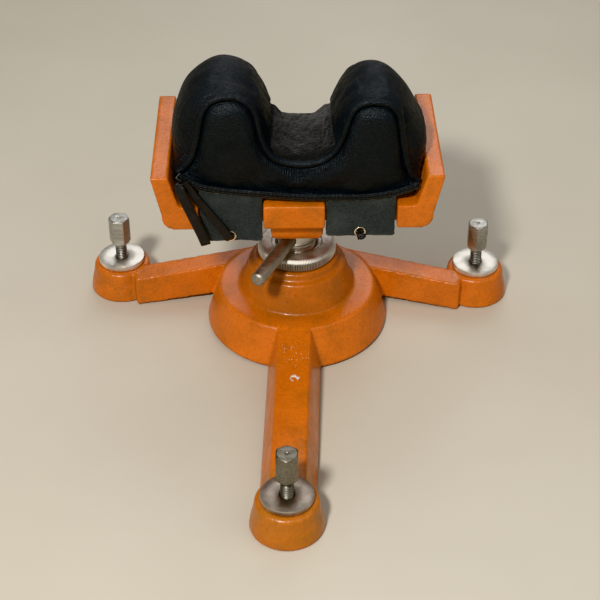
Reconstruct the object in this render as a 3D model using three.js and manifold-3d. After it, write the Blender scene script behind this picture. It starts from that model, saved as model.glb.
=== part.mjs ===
// Front rest for shooting from a bench: a cast tripod base with a jack column, a swivelling yoke
// and a two-eared leather sandbag that is laced into the yoke.
// Millimetres, +Z up. The front leg points along -Y and the floor is z = 0.

import * as THREE from 'three';
import { ConvexGeometry } from 'three/addons/geometries/ConvexGeometry.js';
import { mergeVertices } from 'three/addons/utils/BufferGeometryUtils.js';
import Module from 'manifold-3d';

const wasm = await Module();
wasm.setup();

// ---------- driving dimensions ----------

const GAP = 0.3; // clearance between pieces that touch
const DEG = Math.PI / 180;

const HUB_BASE_Z = 1.5;
const HUB_BASE_R = 61;
const HUB_STEP_Z = 28.6; // flat ring between the hub's two tiers
const HUB_STEP_R = 52.4;
const HUB_DOME_R = 38.5;
const HUB_SHOULDER_R = 32.3;
const HUB_SHOULDER_Z = 47.9;
const HUB_SEAT_R = 27.5;
const HUB_SEAT_Z = 54;
const HUB_BOSS_R = 19.5;
const HUB_WALL = 6;

const FRONT_LEG = 199.5; // column axis to foot axis
const REAR_FOOT = [123.5, 32.2]; // right foot axis; the left one mirrors it
const LEG_WALL = 5;

// A leg runs between two points of its middle line. The rear ones join the hub behind the column.
const FRONT_BAR = {
  ends: [[0, -40], [0, -FRONT_LEG]],
  tops: [HUB_STEP_Z, 18.8],
  bottoms: [HUB_BASE_Z, HUB_BASE_Z],
  halfTop: 10.5,
  halfBase: 17.5,
};
const RIGHT_BAR = {
  ends: [[28, 33.6], [113.3, 16.6]],
  tops: [28.4, 20.8],
  bottoms: [6, 0.6],
  halfTop: 8.1,
  halfBase: 9.8,
};
const LEFT_BAR = { ...RIGHT_BAR, ends: RIGHT_BAR.ends.map(([x, y]) => [-x, y]) };

const PAD_R = 22.5;
const PAD_SEAT_R = 16.3;
const PAD_H = 21;

const SCREW_R = 3.97; // 5/16 in levelling screw
const SCREW_TIP_Z = 1;
const SCREW_HEX_Z = 34.7;
const SCREW_TOP_Z = 56.7;
const SCREW_HEX_R = 7.33; // 1/2 in across flats
const DISC_R = 15.9;
const DISC_H = 3.9;

const COLUMN_R = 12.7; // 1 in jack screw
const COLUMN_FOOT_Z = 3;
const COLUMN_TOP_Z = 79;
const SPIGOT_R = 8;
const RING_R = 25.9;
const RING_H = 8.7;

const BAR_R = 4.76; // 3/8 in turning bar
const BAR_Z = 70.6;
const BAR_REACH = 61.8;
const BAR_INNER = 10;
const BAR_ANGLE = 22.5 * DEG; // from the front leg's direction towards -X

const YOKE_TURN = 2.5 * DEG; // the yoke stands a little askew on the column
const YOKE_DEPTH = 101.2;
const YOKE_TOP_Z = 144.7;
const YOKE_FLOOR_Z = 123;
const YOKE_BOTTOM_Z = 106.6;
const YOKE_BOSS_Z = 82.6;
const YOKE_BOSS_R = 18;
const NOTCH_DEPTH = 9;
const NOTCH_IN = 19.1;
const NOTCH_OUT = 61.5;
const TONGUE_X = -2.3; // the tongues stand a little left of the middle

const FLAP_Y = 46; // middle of the flaps' thickness
const FLAP_T = 2;
const FLAP_TOP_Z = 123.1;
const LACE_R = 1.9;
const KNOT_R = 3.6;

const STEPS = 48; // facets around a large round

// ---------- materials ----------

function material(color, roughness, metalness) {
  return new THREE.MeshStandardMaterial({ color, roughness, metalness });
}

const orangePaint = () => material(0xd1661c, 0.45, 0.1);
const darkSteel = () => material(0x6e6c66, 0.4, 0.9);
const brightSteel = () => material(0xb9b6ad, 0.3, 0.95);
const aluminium = () => material(0xc9c8c4, 0.35, 0.9);
const brass = () => material(0xc9a558, 0.3, 0.95);
const blackLeather = () => material(0x16171a, 0.5, 0);
const greySuede = () => material(0x2f3634, 0.95, 0);

// ---------- solids ----------

// A solid from any closed three.js geometry.
function solid(geometry) {
  const bare = geometry.clone();
  for (const name of Object.keys(bare.attributes)) {
    if (name !== 'position') bare.deleteAttribute(name);
  }
  const merged = mergeVertices(bare, 1e-4);
  const corners = merged.index.array;
  const triangles = [];
  for (let i = 0; i < corners.length; i += 3) {
    const [a, b, c] = [corners[i], corners[i + 1], corners[i + 2]];
    if (a !== b && b !== c && c !== a) triangles.push(a, b, c);
  }
  return new wasm.Manifold(new wasm.Mesh({
    numProp: 3,
    vertProperties: new Float32Array(merged.attributes.position.array),
    triVerts: new Uint32Array(triangles),
  }));
}

function geometryOf(body) {
  const mesh = body.getMesh();
  const geometry = new THREE.BufferGeometry();
  geometry.setAttribute('position', new THREE.BufferAttribute(mesh.vertProperties, 3));
  geometry.setIndex(new THREE.BufferAttribute(mesh.triVerts, 1));
  geometry.computeVertexNormals();
  return geometry;
}

// A solid of revolution about Z from [radius, height] points, counter-clockwise.
function turned(points, steps = STEPS) {
  const outline = points.map(([r, z]) => new THREE.Vector2(r, z));
  return solid(new THREE.LatheGeometry(outline, steps).rotateX(Math.PI / 2));
}

function ringOf(points, steps = STEPS) {
  return turned([...points, points[0]], steps);
}

function rod(radius, from, to, steps = STEPS) {
  return turned([[0, from], [radius, from], [radius, to], [0, to]], steps);
}

function block(x0, x1, y0, y1, z0, z1) {
  const box = new THREE.BoxGeometry(x1 - x0, y1 - y0, z1 - z0);
  return solid(box.translate((x0 + x1) / 2, (y0 + y1) / 2, (z0 + z1) / 2));
}

// The convex solid around a list of [x, y, z] points.
function hull(points) {
  return solid(new ConvexGeometry(points.map((p) => new THREE.Vector3(...p))));
}

// A shape drawn in the XZ plane, given a depth along Y from y0 to y1.
function standing(shape, y0, y1) {
  const geometry = new THREE.ExtrudeGeometry(shape, { depth: y1 - y0, bevelEnabled: false, curveSegments: 6 });
  return solid(geometry.rotateX(Math.PI / 2).translate(0, y1, 0));
}

function turnZ(body, angle) {
  return body.rotate([0, 0, angle / DEG]);
}

const stand = new THREE.Group();

function addPiece(name, body, look, parent = stand) {
  const mesh = new THREE.Mesh(geometryOf(body), look);
  mesh.name = name;
  parent.add(mesh);
  return mesh;
}

// ---------- feet: where each one stands ----------

const feet = [
  { name: 'front', x: 0, y: -FRONT_LEG, leg: FRONT_BAR },
  { name: 'right', x: REAR_FOOT[0], y: REAR_FOOT[1], leg: RIGHT_BAR },
  { name: 'left', x: -REAR_FOOT[0], y: REAR_FOOT[1], leg: LEFT_BAR },
];

// ---------- cast base ----------

function hubBody() {
  return turned([
    [0, HUB_BASE_Z], [HUB_BASE_R, HUB_BASE_Z], [HUB_BASE_R, HUB_BASE_Z + 1.5],
    [HUB_STEP_R + 0.6, HUB_STEP_Z - 1.4], [HUB_STEP_R - 1, HUB_STEP_Z],
    [HUB_DOME_R + 1, HUB_STEP_Z], [HUB_DOME_R - 0.2, HUB_STEP_Z + 1],
    [HUB_SHOULDER_R, HUB_SHOULDER_Z], [HUB_SHOULDER_R - 1.2, HUB_SHOULDER_Z + 3],
    [HUB_SEAT_R + 1.2, HUB_SEAT_Z - 0.5], [HUB_SEAT_R, HUB_SEAT_Z], [0, HUB_SEAT_Z],
  ], 64);
}

function hubHollow() {
  return ringOf([
    [HUB_BOSS_R, -1], [HUB_BASE_R - HUB_WALL, -1], [HUB_STEP_R - HUB_WALL, HUB_STEP_Z - HUB_WALL],
    [HUB_SHOULDER_R - 1, HUB_STEP_Z - HUB_WALL], [HUB_SHOULDER_R - HUB_WALL, HUB_SHOULDER_Z - HUB_WALL],
    [HUB_BOSS_R, HUB_SHOULDER_Z - HUB_WALL],
  ], STEPS);
}

// A tapered bar between two points of its middle line, wider at its base than along its top.
function taperedBar({ ends, tops, bottoms, halfTop, halfBase }) {
  const [root, tip] = ends.map(([x, y]) => new THREE.Vector2(x, y));
  const along = tip.clone().sub(root).normalize();
  const points = [];
  for (const [index, end] of [root, tip].entries()) {
    for (const side of [-1, 1]) {
      const at = (half, z) => [end.x - along.y * side * half, end.y + along.x * side * half, z];
      points.push(at(halfBase, bottoms[index]), at(halfTop, tops[index] - 1), at(halfTop - 1, tops[index]));
    }
  }
  return hull(points);
}

// The channel under a leg, from the hub's cavity almost to the foot.
function legHollow({ ends, tops, halfTop, halfBase }) {
  const [root, tip] = ends.map(([x, y]) => new THREE.Vector2(x, y));
  const share = 1 - (halfBase + LEG_WALL) / tip.distanceTo(root);
  const stop = root.clone().lerp(tip, share);
  return taperedBar({
    ends: [ends[0], stop.toArray()],
    tops: [tops[0] - LEG_WALL, tops[0] + (tops[1] - tops[0]) * share - LEG_WALL],
    bottoms: [-1, -1],
    halfTop: halfTop - 4,
    halfBase: halfBase - LEG_WALL,
  });
}

function padBody() {
  return turned([
    [0, 0], [PAD_R - 0.8, 0], [PAD_R, 0.8], [PAD_R - 0.7, 6], [PAD_R - 2, 12], [PAD_SEAT_R + 2.2, PAD_H - 2.6],
    [PAD_SEAT_R, PAD_H], [0, PAD_H],
  ], 40);
}

function baseCasting() {
  let outside = hubBody();
  let inside = hubHollow();
  for (const foot of feet) {
    outside = outside.add(taperedBar(foot.leg)).add(padBody().translate([foot.x, foot.y, 0]));
    inside = inside.add(legHollow(foot.leg));
  }
  inside = inside.add(rod(COLUMN_R + 0.45, -1, HUB_SEAT_Z + 1));
  for (const foot of feet) {
    inside = inside.add(rod(SCREW_R + 0.4, -1, PAD_H + 1, 24).translate([foot.x, foot.y, 0]));
  }
  return outside.subtract(inside);
}

// ---------- levelling screws and their lock discs ----------

function hexBar(from, to) {
  const bar = new THREE.CylinderGeometry(SCREW_HEX_R, SCREW_HEX_R, to - from, 6);
  return solid(bar.rotateX(Math.PI / 2).translate(0, 0, (from + to) / 2));
}

function levellingScrew() {
  const shank = turned([
    [0, SCREW_TIP_Z], [SCREW_R - 1.4, SCREW_TIP_Z], [SCREW_R, SCREW_TIP_Z + 1.4],
    [SCREW_R, SCREW_HEX_Z + 1], [0, SCREW_HEX_Z + 1],
  ], 24);
  const bevel = turned([
    [0, SCREW_HEX_Z], [SCREW_R + 0.3, SCREW_HEX_Z], [SCREW_HEX_R + 0.1, SCREW_HEX_Z + 4],
    [SCREW_HEX_R + 0.1, SCREW_TOP_Z - 1.2], [SCREW_HEX_R - 1.6, SCREW_TOP_Z], [0, SCREW_TOP_Z],
  ], 36);
  return hexBar(SCREW_HEX_Z, SCREW_TOP_Z).intersect(bevel).add(shank);
}

function lockDisc() {
  const low = PAD_H + GAP;
  const high = low + DISC_H;
  const hole = SCREW_R + 0.4;
  return ringOf([
    [hole, low], [DISC_R - 0.6, low], [DISC_R, low + 0.6], [DISC_R, high - 0.6], [DISC_R - 0.6, high], [hole, high],
  ], 40);
}

// ---------- column, its bar and its lock ring ----------

function lockRing() {
  const low = HUB_SEAT_Z + GAP;
  const high = low + RING_H;
  const hole = COLUMN_R + 0.45;
  return ringOf([
    [hole, low], [RING_R - 1, low], [RING_R, low + 1], [RING_R, high - 1.4], [RING_R - 1.4, high],
    [hole + 3, high], [hole + 1, high - 0.6], [hole, high - 0.6],
  ], 60);
}

// A round bar that lies along the turning bar's line, from one distance to another.
function alongBar(radius, from, to, edge) {
  const bar = turned([
    [0, from], [radius, from], [radius, to - edge], [radius - edge, to], [0, to],
  ], 24);
  return turnZ(bar.rotate([90, 0, 0]), -BAR_ANGLE).translate([0, 0, BAR_Z]);
}

const SPIGOT_TOP_Z = YOKE_FLOOR_Z - 7.5;

function jackColumn() {
  const body = turned([
    [0, COLUMN_FOOT_Z], [COLUMN_R - 1.2, COLUMN_FOOT_Z], [COLUMN_R, COLUMN_FOOT_Z + 1.2],
    [COLUMN_R, COLUMN_TOP_Z - 0.6], [COLUMN_R - 0.6, COLUMN_TOP_Z], [SPIGOT_R, COLUMN_TOP_Z],
    [SPIGOT_R, SPIGOT_TOP_Z], [0, SPIGOT_TOP_Z],
  ]);
  const screwHole = rod(4.4, SPIGOT_TOP_Z - 22, SPIGOT_TOP_Z + 1, 24);
  return body.subtract(alongBar(BAR_R + GAP, -BAR_INNER - GAP, COLUMN_R + 2, 0.1)).subtract(screwHole);
}

function thrustWasher() {
  const [low, high] = [COLUMN_TOP_Z + GAP, YOKE_BOSS_Z - GAP];
  return ringOf([[SPIGOT_R + GAP, low], [COLUMN_R, low], [COLUMN_R, high], [SPIGOT_R + GAP, high]], 36);
}

const WASHER_Z = YOKE_FLOOR_Z - 7 + GAP;

function pivotWasher() {
  const top = WASHER_Z + 1.6;
  return ringOf([[4.4, WASHER_Z], [12.8, WASHER_Z], [12.8, top], [4.4, top]], 36);
}

function pivotScrew() {
  const head = WASHER_Z + 1.6 + GAP;
  return turned([
    [0, SPIGOT_TOP_Z - 20], [4, SPIGOT_TOP_Z - 20], [4, head], [6.5, head], [6.5, head + 2.8],
    [5.5, head + 4], [0, head + 4],
  ], 24);
}

// ---------- yoke ----------

function yokeShape() {
  const shape = new THREE.Shape();
  shape.moveTo(79, YOKE_TOP_Z);
  shape.lineTo(90, YOKE_TOP_Z);
  shape.lineTo(84, 117.5);
  shape.quadraticCurveTo(81.6, YOKE_BOTTOM_Z, 74, YOKE_BOTTOM_Z);
  shape.lineTo(-74, YOKE_BOTTOM_Z);
  shape.quadraticCurveTo(-81.6, YOKE_BOTTOM_Z, -84, 117.5);
  shape.lineTo(-90, YOKE_TOP_Z);
  shape.lineTo(-79, YOKE_TOP_Z);
  shape.lineTo(-73.8, YOKE_FLOOR_Z);
  shape.lineTo(73.8, YOKE_FLOOR_Z);
  shape.closePath();
  return shape;
}

// The rib under the floor that runs out into the two tongues.
function yokeRib() {
  const points = [];
  for (const side of [-1, 1]) {
    for (const end of [-1, 1]) {
      points.push([TONGUE_X + side * 16.8, end * (YOKE_DEPTH / 2 - 0.8), YOKE_BOTTOM_Z + 0.5]);
      points.push([TONGUE_X + side * 12.8, end * 40, 91.8]);
    }
  }
  return hull(points);
}

function yokeCasting() {
  const half = YOKE_DEPTH / 2;
  let body = standing(yokeShape(), -half, half);
  for (const side of [-1, 1]) {
    const [x0, x1] = side > 0 ? [TONGUE_X + NOTCH_IN, NOTCH_OUT] : [-NOTCH_OUT, TONGUE_X - NOTCH_IN];
    body = body.subtract(block(x0, x1, -half - 1, -half + NOTCH_DEPTH, 100, 130));
    body = body.subtract(block(x0, x1, half - NOTCH_DEPTH, half + 1, 100, 130));
  }
  body = body.add(yokeRib()).add(rod(YOKE_BOSS_R, YOKE_BOSS_Z, YOKE_BOTTOM_Z + 1, 40));
  body = body.subtract(rod(SPIGOT_R + 0.4, YOKE_BOSS_Z - 1, YOKE_FLOOR_Z + 1, 40));
  return body.subtract(rod(14, YOKE_FLOOR_Z - 7, YOKE_FLOOR_Z + 1, 40));
}

// ---------- sandbag ----------

// Upper outline of the bag from its left seam over both ears to its right seam, as [x, z] pairs.
const BAG_MIDDLE = [
  [-75, 146], [-77, 157], [-74, 172], [-63.5, 190], [-47, 199], [-30, 191], [-19, 172], [-9, 157],
  [3, 153.5], [15, 158], [25, 172], [37, 189], [50, 194], [63.5, 185], [74, 170], [79, 157], [76, 146],
];
const BAG_END = [
  [-73, 144], [-66, 154], [-60, 172], [-55.5, 189], [-45.5, 195.5], [-32, 193], [-24, 179], [-17, 158],
  [0, 150.5], [17, 153.5], [27, 168], [33.5, 185], [47, 191.5], [60, 184], [64.5, 165], [69, 148], [73.5, 137],
];

// How much of the bag's sag towards its rear a point takes: none at the floor, all of it at the ears' tops.
function sagShare(z) {
  const saddle = Math.min(1, (z - 128) / 24) ** 1.3;
  const ears = Math.min(1, Math.max(0, (z - 150) / 45));
  return 0.86 * saddle + 0.14 * ears;
}

// One cross-section of the bag, as a closed loop of points at one y.
function bagSection(y, swell, sag) {
  const loop = BAG_END.map(([x, z], i) => {
    const [mx, mz] = BAG_MIDDLE[i];
    return new THREE.Vector3(x + (mx - x) * swell, y, z + (mz - z) * swell - sag * sagShare(z));
  });
  const top = new THREE.CatmullRomCurve3(loop).getPoints(48);
  const width = 68 + 4 * swell;
  const bottom = [[width, 130], [width - 4, YOKE_FLOOR_Z + 0.6], [0, YOKE_FLOOR_Z + 0.6],
    [4 - width, YOKE_FLOOR_Z + 0.6], [-width, 130]];
  return [...top, ...bottom.map(([x, z]) => new THREE.Vector3(x, y, z))];
}

// A closed skin over a row of sections that all have the same number of points.
function skinned(sections) {
  const count = sections[0].length;
  const positions = sections.flat().flatMap((p) => [p.x, p.y, p.z]);
  const index = [];
  for (let s = 0; s + 1 < sections.length; s += 1) {
    for (let i = 0; i < count; i += 1) {
      const [a, b] = [s * count + i, s * count + ((i + 1) % count)];
      index.push(a, b, b + count, a, b + count, a + count);
    }
  }
  const caps = [[sections[0], 0, true], [sections.at(-1), (sections.length - 1) * count, false]];
  for (const [section, first, flip] of caps) {
    const flat = section.map((p) => new THREE.Vector2(p.x, p.z));
    for (const [a, b, c] of THREE.ShapeUtils.triangulateShape(flat, [])) {
      index.push(first + a, first + (flip ? b : c), first + (flip ? c : b));
    }
  }
  const geometry = new THREE.BufferGeometry();
  geometry.setAttribute('position', new THREE.Float32BufferAttribute(positions, 3));
  geometry.setIndex(index);
  return geometry;
}

function sandbag() {
  const stations = [
    [-47.5, 0, 0], [-43, 0.45, 0], [-30, 0.9, 0], [-12, 1, 0], [2, 1, 2], [14, 0.98, 6], [24, 0.92, 11],
    [33, 0.7, 16], [42, 0.3, 20.5], [47.5, 0, 23],
  ];
  return solid(skinned(stations.map(([y, swell, sag]) => bagSection(y, swell, sag))));
}

// ---------- flaps, eyelets and laces ----------

const flaps = [
  { name: 'front_left', x: -1, y: -1, low: 95.2, eyelet: [42, 99.6] },
  { name: 'front_right', x: 1, y: -1, low: 98.2, eyelet: [38.8, 102] },
  { name: 'rear_left', x: -1, y: 1, low: 96.5, eyelet: [41, 100.8] },
  { name: 'rear_right', x: 1, y: 1, low: 97, eyelet: [41, 101.2] },
];

// A round solid about the Y axis, moved to a flap's eyelet. Distance 0 is the middle of the flap.
function atEyelet(flap, points, steps) {
  const ring = ringOf(points, steps).rotate([flap.y < 0 ? 90 : -90, 0, 0]);
  return ring.translate([flap.x * flap.eyelet[0], flap.y * FLAP_Y, flap.eyelet[1]]);
}

function flapLeather(flap) {
  const [inner, outer] = [NOTCH_IN + 0.6, NOTCH_OUT - 0.9];
  const [x0, x1] = flap.x > 0 ? [TONGUE_X + inner, outer] : [-outer, TONGUE_X - inner];
  const [y0, y1] = [flap.y * FLAP_Y - FLAP_T / 2, flap.y * FLAP_Y + FLAP_T / 2];
  const hole = rod(3.2, -3, 3, 20).rotate([90, 0, 0]);
  return block(x0, x1, y0, y1, flap.low, FLAP_TOP_Z)
    .subtract(hole.translate([flap.x * flap.eyelet[0], flap.y * FLAP_Y, flap.eyelet[1]]));
}

function eyelet(flap) {
  const [inner, barrel, flange] = [2.3, 2.8, 3.7];
  const face = FLAP_T / 2 + GAP;
  return atEyelet(flap, [
    [inner, -face], [barrel, -face], [barrel, face], [flange, face], [flange, face + 0.7], [inner, face + 0.7],
  ], 20);
}

// A lace is a thong along a smooth curve through its points, with a knot wherever one is asked for.
function lace(points, knots) {
  const curve = new THREE.CatmullRomCurve3(points.map((p) => new THREE.Vector3(...p)), false, 'centripetal');
  const section = new THREE.Shape();
  section.absarc(0, 0, LACE_R, 0, 2 * Math.PI);
  const thong = new THREE.ExtrudeGeometry(section, { steps: 44, curveSegments: 4, extrudePath: curve });
  let body = solid(thong);
  for (const [x, y, z] of knots) {
    body = body.add(solid(new THREE.SphereGeometry(KNOT_R, 10, 6).translate(x, y, z)));
  }
  return body;
}

const leftLaceRoute = [
  [-41, 52, 100.6], [-41, 46, 100.8], [-41, 38, 100], [-41.2, 20, 98.6], [-41.5, 0, 98.2], [-41.8, -20, 98.4],
  [-42, -38, 99.2], [-42, -46, 99.6], [-42, -50, 99.8], [-43.6, -52, 102.2], [-46.6, -51.4, 107],
  [-51.4, -50.4, 113.8], [-57, -50, 121.8], [-62.2, -50, 129.4], [-66, -50, 135.6], [-68.8, -50.4, 140],
  [-71, -51.4, 141.6], [-71.9, -52.8, 139.6], [-71, -53.6, 136], [-69.2, -53.8, 131], [-67, -53.8, 125],
  [-64.6, -53.8, 118.4], [-61.4, -54, 110.2], [-58.2, -54, 100.8], [-57.3, -54, 98],
];
const rightLaceRoute = [
  [39.4, -52, 101.6], [38.8, -46, 102], [38.9, -38, 101.2], [39.4, -20, 99], [40, 0, 98.4], [40.5, 20, 99],
  [41, 38, 100.6], [41, 46, 101.2], [41, 52, 101],
];

// ---------- assembly ----------

addPiece('base_casting', baseCasting(), orangePaint());
for (const foot of feet) {
  const place = new THREE.Group();
  place.position.set(foot.x, foot.y, 0);
  stand.add(place);
  addPiece(`levelling_screw_${foot.name}`, levellingScrew(), brightSteel(), place);
  addPiece(`lock_disc_${foot.name}`, lockDisc(), aluminium(), place);
}
addPiece('lock_ring', lockRing(), aluminium());
addPiece('jack_column', jackColumn(), brightSteel());
addPiece('turning_bar', alongBar(BAR_R, -BAR_INNER, BAR_REACH, 1.2), darkSteel());
addPiece('thrust_washer', thrustWasher(), brightSteel());
addPiece('pivot_washer', pivotWasher(), brightSteel());
addPiece('pivot_screw', pivotScrew(), darkSteel());

const saddle = new THREE.Group(); // everything that swivels with the yoke
saddle.rotation.z = YOKE_TURN;
stand.add(saddle);
addPiece('yoke_casting', yokeCasting(), orangePaint(), saddle);
addPiece('sandbag', sandbag(), blackLeather(), saddle);
for (const flap of flaps) {
  addPiece(`flap_${flap.name}`, flapLeather(flap), greySuede(), saddle);
  addPiece(`eyelet_${flap.name}`, eyelet(flap), brass(), saddle);
}
addPiece('lace_left', lace(leftLaceRoute, [leftLaceRoute[0]]), blackLeather(), saddle);
addPiece('lace_right', lace(rightLaceRoute, [rightLaceRoute[0], rightLaceRoute.at(-1)]), blackLeather(), saddle);

// The footprint's centre is the frame's origin.
const frontReach = FRONT_LEG + PAD_R;
const rearReach = Math.max(HUB_BASE_R, REAR_FOOT[1] + PAD_R);
stand.position.y = (frontReach - rearReach) / 2;

export default stand;
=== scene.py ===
"""A benchrest front rest: cast tripod base, screw-jack column, swivelling yoke and laced leather sandbag."""

import math

import bmesh
import bpy
import numpy as np
from mathutils import Matrix, Vector, noise
from mathutils.geometry import delaunay_2d_cdt


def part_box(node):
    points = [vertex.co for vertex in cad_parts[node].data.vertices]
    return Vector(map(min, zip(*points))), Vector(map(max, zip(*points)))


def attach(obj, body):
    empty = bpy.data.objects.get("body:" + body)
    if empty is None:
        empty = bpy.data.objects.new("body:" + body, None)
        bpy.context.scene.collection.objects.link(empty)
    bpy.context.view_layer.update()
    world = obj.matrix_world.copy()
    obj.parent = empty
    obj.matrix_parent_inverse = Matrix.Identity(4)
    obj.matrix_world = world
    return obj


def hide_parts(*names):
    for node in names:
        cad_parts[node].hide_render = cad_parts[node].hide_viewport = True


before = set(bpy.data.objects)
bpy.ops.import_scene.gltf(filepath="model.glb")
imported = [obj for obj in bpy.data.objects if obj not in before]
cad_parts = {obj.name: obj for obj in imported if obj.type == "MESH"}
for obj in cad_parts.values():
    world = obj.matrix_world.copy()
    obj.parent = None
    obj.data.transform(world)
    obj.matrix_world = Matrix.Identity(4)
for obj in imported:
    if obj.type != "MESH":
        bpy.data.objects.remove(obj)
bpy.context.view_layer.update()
scene = bpy.context.scene

MM = 0.001
COLUMN = sum(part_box("jack_column"), Vector()) / 2  # the column's axis, from its own box
COLUMN.z = 0
YOKE_TURN = math.radians(2.5)  # the yoke stands this far askew on the column, as in the CAD


# ---------- camera, lights and floor ----------

def add_camera():
    """A long lens in front of the front leg, looking down at the hub."""
    turn, pitch = math.radians(1.52), math.radians(37.44)
    ahead = Vector((-math.sin(turn) * math.cos(pitch), math.cos(turn) * math.cos(pitch), -math.sin(pitch)))
    right = Vector((math.cos(turn), math.sin(turn), 0))
    up = right.cross(ahead)
    data = bpy.data.cameras.new("camera")
    data.lens = 89.6
    data.sensor_width = 36
    data.clip_start = 0.01
    camera = bpy.data.objects.new("camera", data)
    camera.matrix_world = Matrix((right, up, -ahead)).transposed().to_4x4()
    camera.location = COLUMN + Vector((0.02375, -0.81376, 0.63575))
    scene.collection.objects.link(camera)
    scene.camera = camera


def add_area(name, place, target, size, power, colour=(1, 1, 1)):
    light = bpy.data.lights.new(name, "AREA")
    light.shape = "DISK"
    light.size = size
    light.energy = power
    light.color = colour
    lamp = bpy.data.objects.new(name, light)
    lamp.location = place
    lamp.rotation_euler = (Vector(target) - Vector(place)).to_track_quat("-Z", "Y").to_euler()
    scene.collection.objects.link(lamp)


def add_lights():
    middle = (0, 0.05, 0.08)
    add_area("key", (-0.37, -0.97, 1.19), middle, 0.18, 20.5, (1, 0.96, 0.90))
    add_area("fill", (1.0, -0.3, 1.3), middle, 1.2, 4, (1, 0.97, 0.92))
    add_area("back", (0.1, 1.3, 1.3), middle, 1.2, 7, (1, 1, 1))
    world = bpy.data.worlds.new("studio")
    world.use_nodes = True
    world.node_tree.nodes["Background"].inputs["Color"].default_value = (1, 0.975, 0.93, 1)
    world.node_tree.nodes["Background"].inputs["Strength"].default_value = 0.30
    scene.world = world
    scene.view_settings.view_transform = "Khronos PBR Neutral"


def add_floor():
    bpy.ops.mesh.primitive_plane_add(size=8)
    floor = bpy.context.object
    floor.name = "floor"
    look = Look("floor", (0.56, 0.52, 0.44), roughness=0.55)
    look.tint(look.noise(3.0, detail=4), (0.53, 0.49, 0.41), (0.59, 0.55, 0.47), 0.35, 0.65)
    floor.data.materials.append(look.material)


# ---------- materials ----------

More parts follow.
